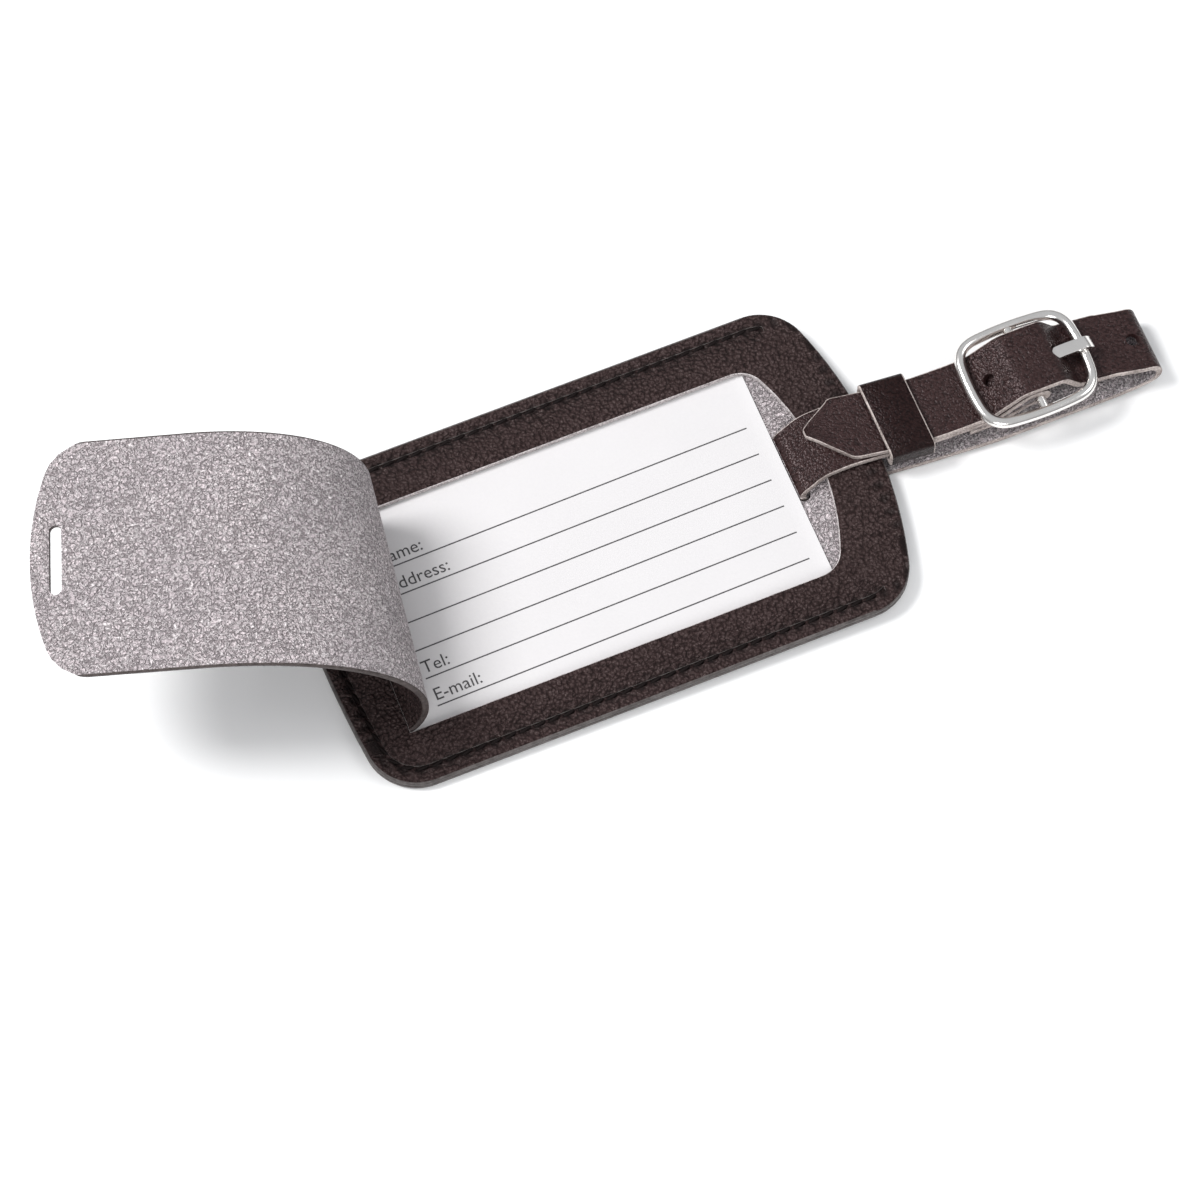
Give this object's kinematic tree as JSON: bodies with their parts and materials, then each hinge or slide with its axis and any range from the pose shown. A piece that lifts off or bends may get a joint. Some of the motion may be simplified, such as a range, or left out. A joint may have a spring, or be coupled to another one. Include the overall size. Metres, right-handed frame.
{
  "type": "luggage tag",
  "caption": "Leather luggage tag with a curled-open flap over a card window, and a buckled strap loop with a keeper through a slot at one end.",
  "frame": {"origin": "centre of the back panel's underside", "axes": "+X along the tag towards the strap, +Y across it, +Z out of the card window"},
  "size_m": [0.224, 0.0749, 0.0455],
  "materials": {
    "panel_leather": "dark brown pebbled grain with a grey flesh side",
    "strap_leather": "dark brown smooth grain",
    "card_stock": "matte white card with ruled lines",
    "thread": "dark waxed thread",
    "plated_metal": "nickel plate"
  },
  "bodies": {
    "tag": {"front_panel": "panel_leather", "back_panel": "panel_leather", "needle_thread": "thread", "bobbin_thread": "thread", "strap_slot_turn": "strap_leather", "strap_tip": "strap_leather"},
    "card": {"address_card": "card_stock"},
    "flap_1": {"flap_strip_1": "panel_leather"},
    "flap_2": {"flap_strip_2": "panel_leather"},
    "flap_3": {"flap_strip_3": "panel_leather"},
    "flap_4": {"flap_strip_4": "panel_leather"},
    "flap_5": {"flap_strip_5": "panel_leather"},
    "flap_6": {"flap_strip_6": "panel_leather"},
    "flap_7": {"flap_strip_7": "panel_leather"},
    "flap_8": {"flap_plate": "panel_leather"},
    "strap": {"strap_buckle_end": "strap_leather", "strap_loop": "strap_leather", "tab_stitches": "thread"},
    "keeper": {"strap_keeper": "strap_leather"},
    "buckle": {"buckle_frame": "plated_metal", "buckle_bar": "plated_metal"},
    "prong": {"buckle_prong": "plated_metal"}
  },
  "joints": [
    {"name": "card_slide", "type": "slide", "parent": "tag", "child": "card", "axis": [1, 0, 0], "range_m": [-0.005, 0]},
    {"name": "flap_fold_1", "type": "hinge", "parent": "tag", "child": "flap_1", "pos_m": [-0.0478, -0.023, 0.0026], "axis": [0.0217, 0.9998, 0], "range_deg": [-5, 40.38]},
    {"name": "flap_fold_2", "type": "hinge", "parent": "flap_1", "child": "flap_2", "pos_m": [-0.04674, -0.02299, 0.00353], "axis": [0.0944, 0.9935, 0.0637], "range_deg": [-2.58, 20.84]},
    {"name": "flap_fold_3", "type": "hinge", "parent": "flap_2", "child": "flap_3", "pos_m": [-0.0451, -0.02293, 0.00665], "axis": [0.1246, 0.9846, 0.1224], "range_deg": [-2.58, 20.84]},
    {"name": "flap_fold_4", "type": "hinge", "parent": "flap_3", "child": "flap_4", "pos_m": [-0.04442, -0.02265, 0.01226], "axis": [0.1282, 0.9789, 0.1593], "range_deg": [-2.58, 20.84]},
    {"name": "flap_fold_5", "type": "hinge", "parent": "flap_4", "child": "flap_5", "pos_m": [-0.04626, -0.02188, 0.01977], "axis": [0.1256, 0.9777, 0.1684], "range_deg": [-2.58, 20.84]},
    {"name": "flap_fold_6", "type": "hinge", "parent": "flap_5", "child": "flap_6", "pos_m": [-0.05175, -0.02024, 0.02783], "axis": [0.1365, 0.9786, 0.1538], "range_deg": [-2.58, 20.84]},
    {"name": "flap_fold_7", "type": "hinge", "parent": "flap_6", "child": "flap_7", "pos_m": [-0.0613, -0.01735, 0.03451], "axis": [0.1756, 0.976, 0.1287], "range_deg": [-2.58, 20.84]},
    {"name": "flap_fold_8", "type": "hinge", "parent": "flap_7", "child": "flap_8", "pos_m": [-0.07437, -0.013, 0.03767], "axis": [0.2486, 0.962, 0.1128], "range_deg": [-2.58, 20.84]},
    {"name": "strap_sway", "type": "hinge", "parent": "tag", "child": "strap", "pos_m": [0.0585, 0.0006, 0.0013], "axis": [0, -1, 0], "range_deg": [-30, 30]},
    {"name": "keeper_slide", "type": "slide", "parent": "strap", "child": "keeper", "axis": [1, 0, 0], "range_m": [0, 0.0074]},
    {"name": "buckle_rock", "type": "hinge", "parent": "strap", "child": "buckle", "pos_m": [0.091, 0.0006, 0.007], "axis": [0, 1, 0], "range_deg": [0, 2]},
    {"name": "prong_lift", "type": "hinge", "parent": "buckle", "child": "prong", "pos_m": [0.091, 0.0006, 0.007], "axis": [0, -1, 0], "range_deg": [0, 4]}
  ]
}
